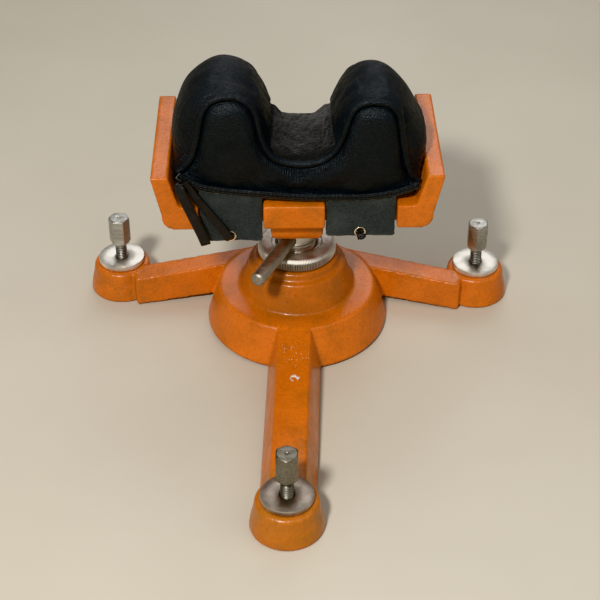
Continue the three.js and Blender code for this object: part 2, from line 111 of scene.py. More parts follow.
class Look:
    """A procedural material. Every pattern reads object coordinates, which are the row's metres."""

    def __init__(self, name, colour, **sockets):
        self.material = bpy.data.materials.new(name)
        self.material.use_nodes = True
        self.tree = self.material.node_tree
        self.shader = self.tree.nodes["Principled BSDF"]
        self.place = self.tree.nodes.new("ShaderNodeTexCoord").outputs["Object"]
        self.colour = None
        self.height = None
        self.put("Base Color", (*colour, 1))
        for socket, value in sockets.items():
            self.put(socket.replace("_", " ").title(), value)

    def put(self, socket, value):
        self.shader.inputs[socket].default_value = value

    def node(self, kind, **settings):
        made = self.tree.nodes.new(kind)
        for key, value in settings.items():
            setattr(made, key, value)
        return made

    def link(self, source, target):
        self.tree.links.new(source, target)

    def stretched(self, scale, turn=(0, 0, 0)):
        """Object coordinates multiplied by a scale along each axis."""
        mapping = self.node("ShaderNodeMapping")
        mapping.inputs["Scale"].default_value = scale
        mapping.inputs["Rotation"].default_value = turn
        self.link(self.place, mapping.inputs["Vector"])
        return mapping.outputs["Vector"]

    def noise(self, scale, detail=3, rough=0.5, where=None):
        made = self.node("ShaderNodeTexNoise")
        made.inputs["Scale"].default_value = scale
        made.inputs["Detail"].default_value = detail
        made.inputs["Roughness"].default_value = rough
        self.link(where or self.place, made.inputs["Vector"])
        return made.outputs["Fac"]

    def cells(self, scale, feature="F1", where=None, randomness=1.0):
        made = self.node("ShaderNodeTexVoronoi", feature=feature)
        made.inputs["Scale"].default_value = scale
        made.inputs["Randomness"].default_value = randomness
        self.link(where or self.place, made.inputs["Vector"])
        return made.outputs["Distance"]

    def ramp(self, source, low, high, start=0.0, end=1.0):
        """Maps source from low..high to start..end, and holds it there."""
        made = self.node("ShaderNodeMapRange")
        for socket, value in (("From Min", low), ("From Max", high), ("To Min", start), ("To Max", end)):
            made.inputs[socket].default_value = value
        self.link(source, made.inputs["Value"])
        return made.outputs["Result"]

    def maths(self, operation, a, b):
        made = self.node("ShaderNodeMath", operation=operation)
        for socket, value in zip(made.inputs, (a, b)):
            if isinstance(value, (int, float)):
                socket.default_value = value
            else:
                self.link(value, socket)
        return made.outputs[0]

    def both(self, a, b):
        """1 where both masks are 1."""
        return self.maths("MULTIPLY", a, b)

    def tint(self, source, dark, light, low=0.3, high=0.7):
        """Colours from dark to light as source goes from low to high."""
        made = self.node("ShaderNodeMix", data_type="RGBA")
        made.inputs["A"].default_value = (*dark, 1)
        made.inputs["B"].default_value = (*light, 1)
        self.link(self.ramp(source, low, high), made.inputs["Factor"])
        self.colour = made.outputs["Result"]
        self.link(self.colour, self.shader.inputs["Base Color"])

    def over(self, mask, colour, share=1):
        """Lays a share of a colour over the one so far where mask is 1."""
        made = self.node("ShaderNodeMix", data_type="RGBA")
        made.inputs["B"].default_value = (*colour, 1)
        self.link(self.colour, made.inputs["A"])
        self.link(mask if share == 1 else self.maths("MULTIPLY", mask, share), made.inputs["Factor"])
        self.colour = made.outputs["Result"]
        self.link(self.colour, self.shader.inputs["Base Color"])

    def roughness(self, source, low, high):
        self.link(self.ramp(source, 0.3, 0.7, low, high), self.shader.inputs["Roughness"])

    def raised(self, source, depth):
        """Adds source, from 0 to 1, to the surface's height, depth metres deep."""
        made = self.node("ShaderNodeBump")
        made.inputs["Distance"].default_value = depth
        made.inputs["Strength"].default_value = 1
        self.link(source, made.inputs["Height"])
        if self.height is not None:
            self.link(self.height, made.inputs["Normal"])
        self.height = made.outputs["Normal"]
        self.link(self.height, self.shader.inputs["Normal"])

    def along(self, axis):
        split = self.node("ShaderNodeSeparateXYZ")
        self.link(self.place, split.inputs[0])
        return split.outputs[axis]

    def near(self, point, radius):
        """1 around a point, falling to 0 a radius away."""
        away = self.node("ShaderNodeVectorMath", operation="DISTANCE")
        away.inputs[1].default_value = point
        self.link(self.place, away.inputs[0])
        return self.ramp(away.outputs["Value"], 0.6 * radius, radius, 1, 0)

    def below(self, height):
        """1 below a height above the floor, 0 over it."""
        return self.ramp(self.along("Z"), height, height + 0.0004, 1, 0)

    def attribute(self, name):
        return self.node("ShaderNodeAttribute", attribute_name=name).outputs["Fac"]

    def puckers(self, pitch):
        """Uneven ridges along Y and Z, a pitch apart along X."""
        phase = self.maths("MULTIPLY", self.along("X"), 2 * math.pi / pitch)
        phase = self.maths("ADD", phase, self.maths("MULTIPLY", self.noise(160), 9.0))
        return self.ramp(self.maths("SINE", phase, 0.0), -1, 1)

    def radial(self, centre):
        """The distance from a vertical axis through centre."""
        shift = self.node("ShaderNodeVectorMath", operation="SUBTRACT")
        shift.inputs[1].default_value = (centre[0], centre[1], 0)
        self.link(self.place, shift.inputs[0])
        flat = self.node("ShaderNodeVectorMath", operation="MULTIPLY")
        flat.inputs[1].default_value = (1, 1, 0)
        self.link(shift.outputs[0], flat.inputs[0])
        length = self.node("ShaderNodeVectorMath", operation="LENGTH")
        self.link(flat.outputs[0], length.inputs[0])
        return length.outputs["Value"]


FRONT_PAD = COLUMN + Vector((0, -199.5, 12)) * MM  # the middle of the front foot's pad
LEG_CHIP = COLUMN + Vector((1.5, -97.6, 27.0)) * MM  # where the front leg's paint is chipped
LEG_SCUFF = COLUMN + Vector((-1.0, -76.6, 28.4)) * MM  # and where it is scuffed, next to the hub


def orange_paint():
    """Glossy paint on a rough casting: mottled, darker in patches on the dome and the front pad, specked,
    chipped and scuffed.
    """
    look = Look("orange_paint", (0.64, 0.16, 0.018), roughness=0.36, coat_weight=0.32, coat_roughness=0.18)
    look.tint(look.noise(26, detail=5), (0.52, 0.125, 0.012), (0.68, 0.175, 0.020))
    grime = look.ramp(look.noise(38, detail=6, rough=0.7), 0.5, 0.7)
    look.over(grime, (0.25, 0.095, 0.016), 0.6)
    # the dome round the column and the front pad are darker and browner in noisy patches
    dome = look.both(look.ramp(look.radial(COLUMN), 0.038, 0.05, 1, 0), look.below(0.085))
    darker_patches = look.ramp(look.noise(55, detail=5, rough=0.65), 0.3, 0.62, 0.35, 0.85)
    look.over(look.both(dome, darker_patches), (0.30, 0.088, 0.006))
    look.over(look.both(look.near(FRONT_PAD, 0.036), darker_patches), (0.31, 0.135, 0.014), 0.85)
    fine = look.ramp(look.noise(520, detail=4, rough=0.7), 0.46, 0.66)
    look.over(fine, (0.27, 0.07, 0.010), 0.35)
    pits = look.ramp(look.cells(240), 0.14, 0.06)
    specks = look.both(pits, look.ramp(look.noise(34, detail=2), 0.57, 0.64))
    look.over(specks, (0.12, 0.035, 0.012), 0.8)
    chips = look.both(look.ramp(look.cells(330), 0.15, 0.09), look.ramp(look.noise(21), 0.63, 0.68))
    look.over(chips, (0.62, 0.52, 0.42))
    scuffed = look.both(look.ramp(look.cells(620), 0.26, 0.16), look.near(LEG_SCUFF, 0.016))
    look.over(look.both(scuffed, look.ramp(look.noise(300), 0.47, 0.56)), (0.80, 0.70, 0.60))
    ragged = look.ramp(look.noise(340, detail=3), 0.47, 0.52)
    look.over(look.both(ragged, look.near(LEG_CHIP, 0.0042)), (0.82, 0.78, 0.72))
    look.roughness(look.noise(90, detail=4), 0.28, 0.46)
    look.raised(look.noise(1050, detail=2), 0.00026)
    look.raised(look.noise(430, detail=3), 0.0003)
    look.raised(look.noise(120, detail=3), 0.0006)
    look.raised(look.maths("SUBTRACT", 1.0, specks), 0.0002)
    return look.material


def turned_metal(name, colour, centre, roughness=0.28, rim=None):
    """Bright metal with a lathe's fine rings, and painted shade in the roots of a knurled rim of [radius, top
    height].
    """
    look = Look(name, colour, metallic=1.0, roughness=roughness)
    look.tint(look.noise(120, detail=5), tuple(0.72 * c for c in colour), colour, 0.3, 0.65)
    if rim:
        radius, top = rim
        # painted shade: darker towards the roots of the knurl's teeth, below the rim's top
        root_shade = look.ramp(look.radial(centre), radius - 0.0006, radius - 0.00005, 0.8, 0)
        look.over(look.both(root_shade, look.below(top)), (0.10, 0.09, 0.08))
    rings = look.node("ShaderNodeMath", operation="SINE")
    look.link(look.maths("MULTIPLY", look.radial(centre), 2 * math.pi / 0.00045), rings.inputs[0])
    patchy = look.noise(300, detail=2)
    look.raised(look.both(look.ramp(rings.outputs[0], -1, 1), patchy), 0.00002)
    look.raised(look.noise(900, detail=2), 0.000012)
    look.roughness(look.noise(200, detail=4), roughness, roughness + 0.2)
    return look.material


def drawn_steel(name, colour, along=(0, 0, 1), roughness=0.35, thread=None):
    """Steel with streaks along one direction, and painted shade in the roots of a thread around a vertical
    axis.
    """
    look = Look(name, colour, metallic=1.0, roughness=roughness)
    turn = Vector(along).rotation_difference(Vector((1, 0, 0))).to_euler()
    streaks = look.noise(1, detail=4, where=look.stretched((60, 1400, 1400), tuple(turn)))
    look.tint(streaks, tuple(0.55 * c for c in colour), colour)
    stains = look.ramp(look.noise(70, detail=5), 0.55, 0.75)
    look.over(stains, (0.16, 0.13, 0.1), 0.5)
    if thread is not None:
        # painted shade: darker in the thread's roots, below the screw's head
        root_shade = look.ramp(look.radial(thread), 0.0034, 0.0039, 1, 0)
        look.over(look.both(root_shade, look.below(0.0345)), (0.07, 0.065, 0.058))
    look.roughness(look.noise(150, detail=4), roughness, roughness + 0.22)
    look.raised(streaks, 0.00003)
    return look.material


def brass():
    look = Look("brass_eyelet", (0.86, 0.78, 0.60), metallic=1.0, roughness=0.24)
    look.tint(look.noise(500, detail=3), (0.58, 0.50, 0.36), (0.92, 0.85, 0.68), 0.35, 0.6)
    look.raised(look.noise(700), 0.00004)
    return look.material


def black_leather():
    look = Look("black_leather", (0.011, 0.013, 0.016), roughness=0.48, specular_tint=(0.85, 0.93, 1, 1))
    dark, light = (0.0058, 0.0075, 0.0096), (0.0150, 0.0178, 0.0212)
    look.tint(look.noise(60, detail=6, rough=0.6), dark, light, 0.32, 0.68)
    grain = look.cells(1150, feature="SMOOTH_F1")
    look.over(look.ramp(grain, 0.25, 0.6), (0.003, 0.0035, 0.0045), 0.5)
    look.roughness(look.noise(260, detail=4), 0.40, 0.60)
    creases = look.noise(1, detail=6, rough=0.65, where=look.stretched((70, 640, 130), (0, 0, YOKE_TURN)))
    look.raised(creases, 0.0007)
    look.raised(look.noise(75, detail=4), 0.0005)
    look.raised(look.ramp(grain, 0.0, 0.7, 1, 0), 0.0003)
    look.raised(look.both(look.puckers(0.0014), look.attribute("gathered")), 0.0005)
    return look.material


def napped_leather():
    """The saddle, worn rough by use."""
    look = Look("saddle_suede", (0.02, 0.022, 0.023), roughness=0.85, sheen_weight=0.14, sheen_roughness=0.5)
    patches = look.noise(1, detail=6, rough=0.7, where=look.stretched((210, 90, 210), (0, 0, YOKE_TURN)))
    look.tint(patches, (0.0020, 0.0026, 0.0033), (0.0110, 0.0130, 0.0142), 0.34, 0.66)
    look.raised(patches, 0.0016)
    look.raised(look.cells(700, feature="SMOOTH_F1"), 0.0006)
    look.raised(look.noise(1000, detail=4, rough=0.7), 0.0004)
    return look.material


def grey_suede():
    look = Look("grey_suede", (0.036, 0.043, 0.044), roughness=0.95, sheen_weight=0.35, sheen_roughness=0.45)
    fibres = look.noise(1100, detail=5, rough=0.7)
    look.tint(fibres, (0.013, 0.0170, 0.0180), (0.054, 0.066, 0.070))
    brushed = look.ramp(look.noise(60, detail=4), 0.5, 0.72)
    look.over(brushed, (0.075, 0.086, 0.086), 0.45)
    look.raised(fibres, 0.00035)
    look.raised(look.noise(150, detail=3), 0.0006)
    return look.material


def cut_edge():
    """The pale raw edge of the leather along the bottom seam."""
    look = Look("cut_leather_edge", (0.09, 0.10, 0.10), roughness=0.9, sheen_weight=0.3)
    look.tint(look.noise(260, detail=5, rough=0.7), (0.04, 0.048, 0.048), (0.14, 0.16, 0.155), 0.35, 0.65)
    look.raised(look.noise(900, detail=3), 0.0002)
    return look.material


def black_thong():
    look = Look("black_lace", (0.008, 0.008, 0.010), roughness=0.5, coat_weight=0.1)
    look.tint(look.noise(300, detail=5), (0.005, 0.005, 0.006), (0.018, 0.018, 0.020))
    look.raised(look.noise(900, detail=3), 0.00012)
    return look.material


def thread_look():
    look = Look("stitch_thread", (0.018, 0.018, 0.02), roughness=0.65, sheen_weight=0.2)
    look.tint(look.noise(2500, detail=2), (0.010, 0.010, 0.011), (0.032, 0.033, 0.034))
    look.raised(look.noise(2600, detail=2), 0.00005)
    return look.material


# ---------- mesh tools (all shapes are drawn in millimetres) ----------

def to_column(obj):
    obj.data.transform(Matrix.Translation(COLUMN))
    return obj


def to_yoke(obj):
    obj.data.transform(Matrix.Translation(COLUMN) @ Matrix.Rotation(YOKE_TURN, 4, "Z"))
    return obj


def heights(node):
    """The lowest and highest points of a node's box."""
    return [corner.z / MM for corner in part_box(node)]


def linked(name, mesh):
    obj = bpy.data.objects.new(name, mesh)
    scene.collection.objects.link(obj)
    return obj


def mesh_object(name, points, faces, smooth=True):
    mesh = bpy.data.meshes.new(name)
    mesh.from_pydata([tuple(float(c) * MM for c in p) for p in points], [], faces)
    mesh.validate()
    obj = linked(name, mesh)
    facing_out(obj)
    if smooth:
        mesh.shade_smooth()
    return obj


def facing_out(obj):
    build = bmesh.new()
    build.from_mesh(obj.data)
    bmesh.ops.remove_doubles(build, verts=build.verts, dist=1e-7)
    bmesh.ops.recalc_face_normals(build, faces=build.faces)
    build.to_mesh(obj.data)
    build.free()


def remove(*objects):
    for obj in objects:
        mesh = obj.data
        bpy.data.objects.remove(obj)
        bpy.data.meshes.remove(mesh)


def apply_all(obj):
    """Turns an object's modifiers into its mesh."""
    graph = bpy.context.evaluated_depsgraph_get()
    made = bpy.data.meshes.new_from_object(obj.evaluated_get(graph))
    old = obj.data
    obj.modifiers.clear()
    obj.data = made
    bpy.data.meshes.remove(old)
    made.name = obj.name
    return obj


def combine(obj, others, operation):
    """Joins or cuts closed meshes, and uses the others up."""
    for other in others:
        modifier = obj.modifiers.new("combine", "BOOLEAN")
        modifier.solver = "MANIFOLD"
        modifier.operation = operation
        modifier.object = other
        apply_all(obj)
    remove(*others)
    return obj


def rounded(obj, width, angle=30, segments=3):
    """Rounds the edges sharper than an angle."""
    modifier = obj.modifiers.new("bevel", "BEVEL")
    modifier.width = width * MM
    modifier.segments = segments
    modifier.limit_method = "ANGLE"
    modifier.angle_limit = math.radians(angle)
    modifier.use_clamp_overlap = True
    apply_all(obj)
    return sharp_shading(obj)


def sharp_shading(obj, angle=35):
    obj.data.shade_smooth()
    obj.data.set_sharp_from_angle(angle=math.radians(angle))
    return obj


def revolve(name, outline, steps=128, ring=False, radius_at=None, smooth=True):
    """A solid of revolution about Z from [radius, height] pairs, waved by radius_at(angle, index, radius)."""
    points, faces, rows = [], [], []
    for index, (radius, height) in enumerate(outline):
        if radius < 1e-6:
            rows.append([len(points)] * steps)
            points.append((0, 0, height))
            continue
        row = []
        for step in range(steps):
            angle = 2 * math.pi * step / steps
            r = radius_at(angle, index, radius) if radius_at else radius
            row.append(len(points))
            points.append((r * math.cos(angle), r * math.sin(angle), height))
        rows.append(row)
    pairs = list(zip(rows, rows[1:])) + ([(rows[-1], rows[0])] if ring else [])
    for low, high in pairs:
        for step in range(steps):
            after = (step + 1) % steps
            corners = [low[step], low[after], high[after], high[step]]
            face = list(dict.fromkeys(corners))
            if len(face) > 2:
                faces.append(face)
    return mesh_object(name, points, faces, smooth)


def rod(name, radius, low, high, steps=96, smooth=False):
    return revolve(name, [(0, low), (radius, low), (radius, high), (0, high)], steps, smooth=smooth)


def arc(cx, cy, radius, start, end, count=5):
    """Points on a circle, from one angle in degrees to another."""
    angles = np.radians(np.linspace(start, end, count))
    return [(cx + radius * math.cos(a), cy + radius * math.sin(a)) for a in angles]


def prism(name, outline, y0, y1):
    """A closed XZ outline given a depth along Y."""
    count = len(outline)
    points = [(x, y, z) for y in (y0, y1) for x, z in outline]
    faces = [list(range(count)), list(range(2 * count - 1, count - 1, -1))]
    faces += [[i, (i + 1) % count, (i + 1) % count + count, i + count] for i in range(count)]
    return mesh_object(name, points, faces, smooth=False)


def brick(name, x0, x1, y0, y1, z0, z1):
    return prism(name, [(x0, z0), (x1, z0), (x1, z1), (x0, z1)], y0, y1)


def convex(name, points):
    build = bmesh.new()
    for p in points:
        build.verts.new([c * MM for c in p])
    made = bmesh.ops.convex_hull(build, input=build.verts)
    loose = [v for v in made["geom_interior"] if isinstance(v, bmesh.types.BMVert)]
    bmesh.ops.delete(build, geom=loose, context="VERTS")
    mesh = bpy.data.meshes.new(name)
    build.to_mesh(mesh)
    build.free()
    obj = linked(name, mesh)
    facing_out(obj)
    return obj


def round_section(radius, sides):
    angles = np.linspace(0, 2 * math.pi, sides, endpoint=False)
    return [(radius * math.cos(a), radius * math.sin(a)) for a in angles]


def smooth_curve(points, count):
    """Evenly spaced points on a Catmull-Rom curve through the given ones."""
    p = np.array(points, float)
    p = np.vstack([2 * p[0] - p[1], p, 2 * p[-1] - p[-2]])
    t = np.linspace(0, 1, 24, endpoint=False)[:, None]
    fine = []
    for a, b, c, d in zip(p, p[1:], p[2:], p[3:]):
        bend, twist = 2 * a - 5 * b + 4 * c - d, 3 * b - a - 3 * c + d
        fine.append(0.5 * (2 * b + (c - a) * t + bend * t**2 + twist * t**3))
    fine = np.vstack(fine + [p[-2:-1]])
    length = np.concatenate([[0], np.cumsum(np.linalg.norm(np.diff(fine, axis=0), axis=1))])
    places = np.linspace(0, length[-1], count)
    return np.stack([np.interp(places, length, fine[:, k]) for k in range(fine.shape[1])], axis=1)


def tube(name, path, section, twist=None):
    """Sweeps a closed section of [across, up] pairs along a path, rolled by twist or kept from rolling."""
    path = [Vector(p) for p in path]
    count = len(path)
    ways = [(path[min(i + 1, count - 1)] - path[max(i - 1, 0)]).normalized() for i in range(count)]
    side = ways[0].orthogonal().normalized()
    points, faces = [], []
    for i, (place, way) in enumerate(zip(path, ways)):
        side = (side - way * side.dot(way)).normalized()
        out = side if twist is None else twist(i / (count - 1), way)
        out = (out - way * out.dot(way)).normalized()
        up = way.cross(out)
        ring = section(i / (count - 1)) if callable(section) else section
        size = len(ring)
        points += [place + out * a + up * b for a, b in ring]
    for i in range(count - 1):
        for k in range(size):
            a, b = i * size + k, i * size + (k + 1) % size
            faces.append([a, b, b + size, a + size])
    faces.append(list(range(size)))
    faces.append(list(range((count - 1) * size, count * size)))
    return mesh_object(name, points, faces)


def finish_piece(obj, body, slot, material, *nodes):
    """Gives a piece its material or materials and its moving body, and hides the CAD nodes it stands for; its
    slot is not used.
    """
    obj.data.materials.clear()
    for one in material if isinstance(material, (list, tuple)) else [material]:
        obj.data.materials.append(one)
    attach(obj, body)
    if nodes:
        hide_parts(*nodes)
    return obj


# ---------- cast base ----------

# radii and heights of the hub's base, step, dome, shoulder and seat
HUB = dict(
    base=61, base_z=1.5, step=52.4, step_z=28.6, dome=38.5, shoulder=32.3, shoulder_z=47.9,
    seat=27.5, seat_z=54, bore=13.15, wall=6,
)
FEET = {"front": (0, -199.5), "right": (123.5, 32.2), "left": (-123.5, 32.2)}
# a leg's middle line, its top and bottom at both ends, and half its width along the top and the base
FRONT_LEG = dict(
    ends=((0, -40), (0, -199.5)), tops=(28.7, 18.8), bottoms=(1.5, 1.5), half_top=10.5, half_base=17.5,
)
REAR_LEG = dict(
    ends=((28, 33.6), (113.3, 16.6)), tops=(28.4, 20.8), bottoms=(6, 0.6), half_top=8.1, half_base=9.8,
)
LEG_WALL = 5
PAD = dict(radius=22.5, seat=16.3, height=21, hole=4.35)


def foot_place(name):
    return Vector((*FEET[name], 0))


def hub_outline():
    h = HUB
    return [
        (0, h["base_z"]), *arc(h["base"] - 1, h["base_z"] + 1, 1, -90, 15),
        *arc(h["step"] - 1.4, h["step_z"] - 2, 2, 17, 90),
        *arc(h["dome"] + 0.8, h["step_z"] + 1.2, 1.2, 270, 200),
        *arc(h["shoulder"] - 0.9, h["shoulder_z"] - 0.5, 1.1, 10, 80, 4),
        *arc(h["seat"] + 2.6, h["seat_z"] - 3.4, 1.9, 262, 190, 4),
        *arc(h["seat"] - 0.7, h["seat_z"] - 1, 1, 10, 90), (0, h["seat_z"]),
    ]


def tapered_bar(name, ends, tops, bottoms, half_top, half_base):
    """A bar between two points, with sloping sides and a different top and bottom at each end."""
    root, tip = (Vector(end) for end in ends)
    across = (tip - root).normalized().orthogonal()
    points = []
    for end, top, bottom in ((root, tops[0], bottoms[0]), (tip, tops[1], bottoms[1])):
        for side in (-1, 1):
            for half, z in ((half_base, bottom), (half_top, top)):
                points.append((*(end + across * side * half), z))
    return convex(name, points)


def leg_channel(ends, tops, bottoms, half_top, half_base):
    """The hollow under a leg, from the hub's cavity almost to the foot."""
    root, tip = (Vector(end) for end in ends)
    share = 1 - (half_base + LEG_WALL) / (tip - root).length
    roof = (tops[0] - LEG_WALL, tops[0] + (tops[1] - tops[0]) * share - LEG_WALL)
    ends = (root, root.lerp(tip, share))
    return tapered_bar("channel", ends, roof, (-1, -1), half_top - 4, half_base - LEG_WALL)


def base_casting():
    h, wall = HUB, HUB["wall"]
    outside = revolve("base", hub_outline(), 160, smooth=False)
    sleeve = h["bore"] + wall + 0.35
    cavity = revolve("cavity", [
        (sleeve, -2), (h["base"] - wall, -2), (h["step"] - wall, h["step_z"] - wall),
        (h["shoulder"] - 1, h["step_z"] - wall), (h["shoulder"] - wall, h["shoulder_z"] - wall),
        (sleeve, h["shoulder_z"] - wall),
    ], 96, ring=True, smooth=False)
    added, cut = [], [cavity, rod("bore", h["bore"], -2, 60)]
    for name in FEET:
        line = FRONT_LEG if name == "front" else REAR_LEG
        if name == "left":
            line = dict(line, ends=[(-x, y) for x, y in line["ends"]])
        leg = rounded(tapered_bar("leg", **line), 1.3)
        channel = leg_channel(**line)
        r = PAD["radius"]
        pad = revolve("pad", [
            (0, 0), *arc(r - 1, 1, 1, -90, 0, 4), (r - 0.9, 7), (r - 2.4, 13),
            *arc(PAD["seat"] + 0.4, PAD["height"] - 2.6, 2.6, 20, 88), (0, PAD["height"]),
        ], 96, smooth=False)
        hole = rod("hole", PAD["hole"], -2, PAD["height"] + 3, 48)
        for part in (pad, hole):
            part.data.transform(Matrix.Translation(foot_place(name) * MM))
        added += [leg, pad]
        cut += [channel, hole]
    combine(outside, added, "UNION")
    combine(outside, cut, "DIFFERENCE")
    cast_surface(outside, 0.95)
    return to_column(outside)


def cast_surface(obj, voxel):
    """Melts the joins and edges of a casting a little, as its mould does."""
    remesh = obj.modifiers.new("remesh", "REMESH")
    remesh.mode = "VOXEL"
    remesh.voxel_size = voxel * MM
    soften = obj.modifiers.new("soften", "SMOOTH")
    soften.factor = 0.5
    soften.iterations = 3
    apply_all(obj)
    obj.data.shade_smooth()
    return obj


# ---------- screws, discs, ring and column ----------

def threaded(name, radius, pitch, low, high, depth, steps=36, per_turn=10):
    """A rod with a screw thread cut into it between two heights."""
    rows = int(round((high - low) / pitch * per_turn))
    points, faces = [], []
    for row in range(rows + 1):
        z = low + (high - low) * row / rows
        run_out = min(1, (z - low) / pitch, (high - z) / pitch)
        for step in range(steps):
            angle = 2 * math.pi * step / steps
            phase = (z / pitch - step / steps) % 1
            groove = min(1, max(0, 1.25 * (1 - abs(2 * phase - 1)) - 0.125))
            r = radius - depth * groove * run_out
            points.append((r * math.cos(angle), r * math.sin(angle), z))
    for row in range(rows):
        for step in range(steps):
            a, b = row * steps + step, row * steps + (step + 1) % steps
            faces.append([a, b, b + steps, a + steps])
    faces.append(list(range(steps - 1, -1, -1)))
    faces.append(list(range(rows * steps, (rows + 1) * steps)))
    return mesh_object(name, points, faces)


SCREW = dict(radius=3.97, tip=1, top=56.7, hex_r=7.33, pitch=1.41, depth=0.85)
# where each screw's head begins, how long the chamfer under it is, and its turn in degrees
HEADS = {"front": (37, 1.7, 90), "right": (34.9, 4, 90), "left": (34.9, 4, 60)}


def levelling_screw(name):
    s = SCREW
    low, chamfer, turn = HEADS[name]
    r, top, end = s["hex_r"], s["top"], s["tip"]
    hexagon = arc(0, 0, r, turn, turn + 300, 6)
    sides = [[i, (i + 1) % 6, (i + 1) % 6 + 6, i + 6] for i in range(6)]
    head = mesh_object("head", [(x, y, z) for z in (low, top) for x, y in hexagon],
                       [[5, 4, 3, 2, 1, 0], [6, 7, 8, 9, 10, 11], *sides], smooth=False)
    turned = revolve("turned", [
        (0, low), (r - 0.6 - 0.6 * chamfer, low), (r + 0.1, low + chamfer), (r + 0.1, top - 0.9),
        (r - 1.5, top), (1.1, top), (0.7, top - 0.5), (0, top - 0.6),
    ], 96, smooth=False)
    combine(head, [turned], "INTERSECT")
    rounded(head, 0.25, 25, 2)
    neck = rod("neck", 3.2, low - 1.2, low + 1, 36, smooth=True)
    tip = revolve("tip", [(0, end), (2.4, end), (3.3, end + 1), (3.3, 4), (0, 4)], 36)
    shank = threaded("shank", s["radius"], s["pitch"], end + 1, low - 0.4, s["depth"])
    screw = combine(head, [neck, shank, tip], "UNION")
    screw.name = screw.data.name = "screw_" + name
    sharp_shading(screw, 40)
    screw.data.transform(Matrix.Translation(foot_place(name) * MM))
    return to_column(screw)


DISC_RADIUS, RING_RADIUS = 15.9, 25.9


def knurl(teeth, depth, rim):
    """Cuts straight teeth into the outline points numbered in rim, each as deep as its share there."""
    def radius_at(angle, index, radius):
        if index not in rim:
            return radius
        phase = (angle * teeth / (2 * math.pi)) % 1
        return radius - depth * rim[index] * abs(2 * phase - 1)
    return radius_at


def lock_disc(name):
    low, high = heights("lock_disc_" + name)
    r, hole = DISC_RADIUS, 4.4
    outline = [
        (hole, low), (r - 1.0, low), (r - 0.35, low + 0.3), (r, low + 0.8), (r, (low + high) / 2),
        (r, high - 0.8), (r - 0.35, high - 0.3), (r - 0.9, high), (hole + 1, high), (hole, high - 0.7),
    ]
    teeth = knurl(120, 0.42, {3: 1, 4: 1, 5: 1})
    disc = revolve("disc_" + name, outline, 480, ring=True, radius_at=teeth)
    sharp_shading(disc, 38)
    disc.data.transform(Matrix.Translation(foot_place(name) * MM))
    return to_column(disc)


def lock_ring():
    low, high = heights("lock_ring")
    r, hole = RING_RADIUS, HUB["bore"]
    outline = [
        (hole, low), (r - 1.6, low), (r - 0.5, low + 0.8), (r, low + 1.4), (r, (low + high) / 2),
        (r, high - 2.6), (r - 0.7, high - 1.6), (r - 2.2, high - 0.2), (r - 3.0, high),
        (17.2, high), (16.4, high - 0.7), (14.6, high - 0.7), (hole, high - 1.9),
    ]
    teeth = knurl(144, 0.75, {3: 1, 4: 1, 5: 1, 6: 0.5})
    ring = revolve("ring", outline, 576, ring=True, radius_at=teeth)
    sharp_shading(ring, 38)
    return to_column(ring)


JACK = dict(radius=12.7, pitch=2.117, depth=1.15, spigot=8, top=115.5, tapped=4.35)
BAR = dict(radius=4.76, z=70.6, reach=61.8, inner=10, turn=22.5)


def along_bar(obj):
    """Lays a solid that stands on Z along the turning bar."""
    lay = Matrix.Rotation(math.radians(-BAR["turn"]), 4, "Z") @ Matrix.Rotation(math.radians(90), 4, "X")
    obj.data.transform(Matrix.Translation((0, 0, BAR["z"] * MM)) @ lay)
    return obj


def jack_column():
    """A threaded column with a plain band for the bar, and a spigot that the yoke turns on."""
    j = JACK
    r, root = j["radius"], j["radius"] - 1.2
    thread = threaded("column", r, j["pitch"], 4, 66.5, j["depth"], 96)
    foot = revolve("foot", [(0, 3), (root - 0.6, 3), (root, 3.8), (root, 6), (0, 6)], 96, smooth=False)
    top = revolve("top", [
        (0, 64), (root, 64), (root, 65.6), (r - 0.6, 66.2), (r, 66.9), (r, 78), (r - 0.6, 79),
        (j["spigot"], 79), (j["spigot"], j["top"] - 0.5), (j["spigot"] - 0.6, j["top"]), (0, j["top"]),
    ], 96, smooth=False)
    combine(thread, [foot, top], "UNION")
    hole = along_bar(rod("hole", BAR["radius"] + 0.24, -BAR["inner"] - 0.3, 16, 48))
    screw_hole = rod("screw_hole", j["tapped"], 93, 118, 48)
    combine(thread, [hole, screw_hole], "DIFFERENCE")
    sharp_shading(thread, 40)
    return to_column(thread)


def turning_bar():
    r, inner, reach = BAR["radius"], -BAR["inner"], BAR["reach"]
    bar = along_bar(revolve("bar", [
        (0, inner), (r - 0.4, inner), (r, inner + 0.4), (r, reach - 1.7), (r - 0.25, reach - 1.1),
        (r - 1.5, reach - 0.1), (r - 1.9, reach), (0, reach - 0.15),
    ], 64))
    sharp_shading(bar, 30)
    return to_column(bar)


def small_washer(name, node, inner, outer):
    low, high = heights(node)
    washer = revolve(name, [
        (inner, low + 0.2), (inner + 0.2, low), (outer - 0.3, low), (outer, low + 0.3), (outer, high - 0.3),
        (outer - 0.3, high), (inner + 0.2, high), (inner, high - 0.2),
    ], 72, ring=True)
    return to_column(sharp_shading(washer, 30))


def pivot_screw():
    low, high = heights("pivot_screw")
    head = high - 4
    screw = revolve("pivot", [
        (0, low), (3.4, low), (4, low + 0.6), (4, head), (6.3, head), (6.5, head + 0.2),
        (6.5, high - 0.6), (5.9, high), (3.0, high), (2.8, high - 2.4), (0, high - 2.6),
    ], 48)
    return to_column(sharp_shading(screw, 30))


# ---------- yoke ----------

YOKE = dict(
    half_depth=50.6, top=144.7, floor=123, bottom=106.6, boss=82.6, notch=9, notch_in=19.1, notch_out=61.5,
    bore=8.4, sink=14, sink_depth=7,
)
TONGUE_X, RIB_X = -2.3, -0.5  # the tongues and the rib under them stand a little left of the middle
# the rib's half width, half depth and height, from its root down to its bottom
RIB = [(17, 44.4, YOKE["bottom"] + 0.5), (16.3, 42.9, 96), (14.8, 41.4, 93.2), (12, 40, 91.8)]


